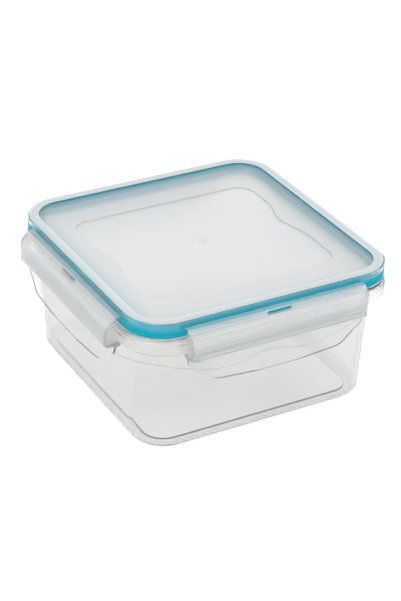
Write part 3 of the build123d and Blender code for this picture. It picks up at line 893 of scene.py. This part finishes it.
class MakeLid(Operator):
    """Make the frosted lid with its rim, channel, recessed panel and window"""

    bl_idname = "foodbox.make_lid"
    bl_label = "Make lid"

    def execute(self, context):
        colours = context.scene.foodbox_colours
        grid, window_ring = lid_rings(context.scene.foodbox_sizes)
        lid = join_rings("Frosted_lid", grid)
        finishes = [
            # name, transmission, smoothest, roughest, grain, tone, shine
            ("Lid rim wall", 1.0, 0.02, 0.05, 0.03, 1.02, 0.12),
            # The rim top's whiter, milkier finish is frost with a painted highlight.
            ("Frosted rim top with painted highlight", 0.4, 0.12, 0.2, 0.15, 0.93, 0.3),
            ("Frosted panel", 0.5, 0.14, 0.22, 0.2, 0.81, 0.35),
            ("Lid window", 0.99, 0.02, 0.05, 0.05, 1.03, 0.3)]
        for finish in finishes:
            lid.data.materials.append(frosted_material(colours, *finish))
        # Painted light: the sealing ring's teal glow on the panel's border.
        self.paint_rim_glow(lid.data.materials["Frosted panel"], colours)
        middle = (grid[:-1] + grid[1:]).mean(axis=1) / 2
        out = np.abs(grid[:-1, 0, 1] + grid[1:, 0, 1]) / 2
        level = middle[:, 2]
        band = np.zeros(len(out), dtype=np.int32)
        # Painted highlight: faces at the rim's top take the whiter rim-top finish.
        band[(level > LID_TOP - RIM_HIGHLIGHT_BAND) & (out > RECESS_HALF)] = 1
        band[(level < PANEL_TOP + MILKY_RISE) & (out < RECESS_HALF)] = 2
        band[window_ring:] = 3
        count = grid.shape[1]
        ends = np.repeat([2, 3], count)
        mark = np.concatenate([np.repeat(band, count), ends]).astype(np.int32)
        lid.data.polygons.foreach_set("material_index", mark)
        finish_piece(lid, "lid", ["lid"])
        return {"FINISHED"}

    def paint_rim_glow(self, material, colours):
        """Paint a little of the sealing ring's teal glow onto the panel's border, as painted light."""
        shader = material.node_tree.nodes["Principled BSDF"]
        plain = Vector(shader.inputs["Base Color"].default_value)
        glow_colour = plain.lerp(Vector((*colours.rubber, 1.0)), 0.25)
        glow = place_group(material, rim_glow_group(), {"Plain": plain, "Glow colour": glow_colour})
        material.node_tree.links.new(glow.outputs["Colour"], shader.inputs["Base Color"])


class MakeGasket(Operator):
    """Make the teal sealing ring in the lid's channel"""

    bl_idname = "foodbox.make_gasket"
    bl_label = "Make gasket"

    def execute(self, context):
        gasket = join_rings("Sealing_ring", gasket_rings(context.scene.foodbox_sizes), closed=True)
        gasket.data.materials.append(rubber_material(context.scene.foodbox_colours))
        finish_piece(gasket, "lid", ["gasket"])
        return {"FINISHED"}


class MakeLatches(Operator):
    """Make the four latches and the hinge webs that carry them"""

    bl_idname = "foodbox.make_latches"
    bl_label = "Make latches"

    def execute(self, context):
        colours = context.scene.foodbox_colours
        band = frosted_material(colours, "Frosted latch", 0.74, 0.16, 0.26, 0.2, 0.95, 0.35)
        lip = frosted_material(colours, "Latch lip", 0.92, 0.05, 0.1, 0.1, 0.97, 0.4)
        film = frosted_material(colours, "Hinge film", 0.9, 0.08, 0.14, 0.1, 0.98, 0.3)
        latch, band_low = latch_mesh()
        web = web_mesh()
        middle = np.array([face.center.z for face in latch.polygons])
        latch.polygons.foreach_set("material_index", (middle < band_low).astype(np.int32))
        for side, degrees in SIDES.items():
            for mesh, kind, materials, body in (
                    (latch, "latch", (band, lip), side + "_flap"),
                    (web, "hinge_web", (film,), side + "_web")):
                name = side.capitalize() + "_" + kind
                piece = bpy.data.objects.new(name, turned(mesh, degrees))
                context.scene.collection.objects.link(piece)
                for material in materials:
                    piece.data.materials.append(material)
                edge = piece.modifiers.new("Edges", "BEVEL")
                edge.width = 0.14 * MM
                edge.segments = 2
                edge.limit_method = "ANGLE"
                edge.angle_limit = math.radians(40)
                edge.harden_normals = True
                finish_piece(piece, body, [side + "_" + kind])
        return {"FINISHED"}


class MakeStage(Operator):
    """Make the pale floor, the soft lamps, the white surround and the camera"""

    bl_idname = "foodbox.make_stage"
    bl_label = "Make stage"

    def execute(self, context):
        colours = context.scene.foodbox_colours
        self.floor(colours)
        self.surround(context.scene, colours)
        self.lamp("Main lamp", (-0.9, -0.7, 1.5), 1.2, colours.key)
        self.lamp("Fill lamp", (1.3, -0.6, 0.9), 1.2, colours.fill)
        self.camera(context.scene)
        return {"FINISHED"}

    def floor(self, colours):
        """Floor that shows white to the camera and still takes the object's shadow."""
        reach = 3.0
        points = np.array([(-reach, -reach, 0), (reach, -reach, 0), (reach, reach, 0), (-reach, reach, 0)])
        floor = put_mesh("Floor", points, [(0, 1, 2, 3)])
        material, shader = fresh_material("Pale floor")
        nodes, links = material.node_tree.nodes, material.node_tree.links
        shader.inputs["Base Color"].default_value = (*[0.45 * c for c in colours.floor], 1.0)
        shader.inputs["Roughness"].default_value = 0.9
        shader.inputs["Specular IOR Level"].default_value = 0.1
        shader.inputs["Emission Color"].default_value = (1.0, 1.0, 1.0, 1.0)
        share = nodes.new("ShaderNodeMath")
        share.operation = "MULTIPLY"
        share.inputs[1].default_value = 0.7
        links.new(seen_white(material.node_tree), share.inputs[0])
        links.new(share.outputs[0], shader.inputs["Emission Strength"])
        floor.data.materials.append(material)

    def surround(self, scene, colours):
        """White to look at, and a softer even light on the object."""
        world = bpy.data.worlds.new("Surround")
        world.use_nodes = True
        scene.world = world
        nodes, links = world.node_tree.nodes, world.node_tree.links
        light = nodes["Background"]
        light.inputs["Color"].default_value = (1.0, 1.0, 1.0, 1.0)
        light.inputs["Strength"].default_value = colours.sky
        white = nodes.new("ShaderNodeBackground")
        white.inputs["Color"].default_value = (1.0, 1.0, 1.0, 1.0)
        white.inputs["Strength"].default_value = 1.0
        mix = nodes.new("ShaderNodeMixShader")
        links.new(seen_white(world.node_tree), mix.inputs["Fac"])
        links.new(light.outputs["Background"], mix.inputs[1])
        links.new(white.outputs["Background"], mix.inputs[2])
        links.new(mix.outputs["Shader"], nodes["World Output"].inputs["Surface"])

    def lamp(self, name, place, size, power):
        """Square soft lamp that looks at the middle of the object."""
        light = bpy.data.lights.new(name, "AREA")
        light.size = size
        light.energy = power
        lamp = bpy.data.objects.new(name, light)
        lamp.location = place
        aim = Vector((0, 0, 0.04)) - Vector(place)
        lamp.rotation_euler = aim.to_track_quat("-Z", "Y").to_euler()
        bpy.context.scene.collection.objects.link(lamp)

    def camera(self, scene):
        """Camera from the fitted position, turned by azimuth, elevation and roll."""
        place = scene.foodbox_camera
        lens = bpy.data.cameras.new("Camera")
        lens.lens = place.lens
        lens.sensor_width = 36.0
        lens.clip_start = 0.01
        turn, lift, roll = place.azimuth, place.elevation, place.roll
        right = Vector((math.cos(turn), math.sin(turn), 0.0))
        ahead = Vector((-math.sin(turn) * math.cos(lift), math.cos(turn) * math.cos(lift), -math.sin(lift)))
        up = right.cross(ahead)
        side = right * math.cos(roll) + up * math.sin(roll)
        top = up * math.cos(roll) - right * math.sin(roll)
        matrix = Matrix((side, top, -ahead)).transposed().to_4x4()
        matrix.translation = Vector(place.position)
        camera = bpy.data.objects.new("Camera", lens)
        camera.matrix_world = matrix
        scene.collection.objects.link(camera)
        scene.camera = camera


class FoodBoxPanel(Panel):
    """Sizes, colours and build steps of the food box"""

    bl_idname = "VIEW3D_PT_foodbox"
    bl_label = "Clip-lock food box"
    bl_space_type = "VIEW_3D"
    bl_region_type = "UI"
    bl_category = "Food box"

    def draw(self, context):
        layout = self.layout
        for group in ("foodbox_sizes", "foodbox_colours", "foodbox_camera"):
            owner = getattr(context.scene, group)
            column = layout.column(align=True)
            for name in owner.__annotations__:
                column.prop(owner, name)
        for operator in STEPS:
            layout.operator(operator.bl_idname)


STEPS = (MakeTub, MakeLid, MakeGasket, MakeLatches, MakeStage)
GROUPS = {"foodbox_sizes": BoxSizes, "foodbox_colours": BoxColours, "foodbox_camera": CameraPlace}


def register():
    for item in (*GROUPS.values(), *STEPS, FoodBoxPanel):
        bpy.utils.register_class(item)
    for name, group in GROUPS.items():
        setattr(bpy.types.Scene, name, PointerProperty(type=group))


def unregister():
    for name in GROUPS:
        delattr(bpy.types.Scene, name)
    for item in reversed((*GROUPS.values(), *STEPS, FoodBoxPanel)):
        bpy.utils.unregister_class(item)


def main():
    register()
    scene = bpy.context.scene
    scene.view_settings.view_transform = "Standard"
    bpy.ops.foodbox.make_tub()
    bpy.ops.foodbox.make_lid()
    bpy.ops.foodbox.make_gasket()
    bpy.ops.foodbox.make_latches()
    bpy.ops.foodbox.make_stage()
    bpy.context.view_layer.update()


if __name__ == "__main__":
    main()
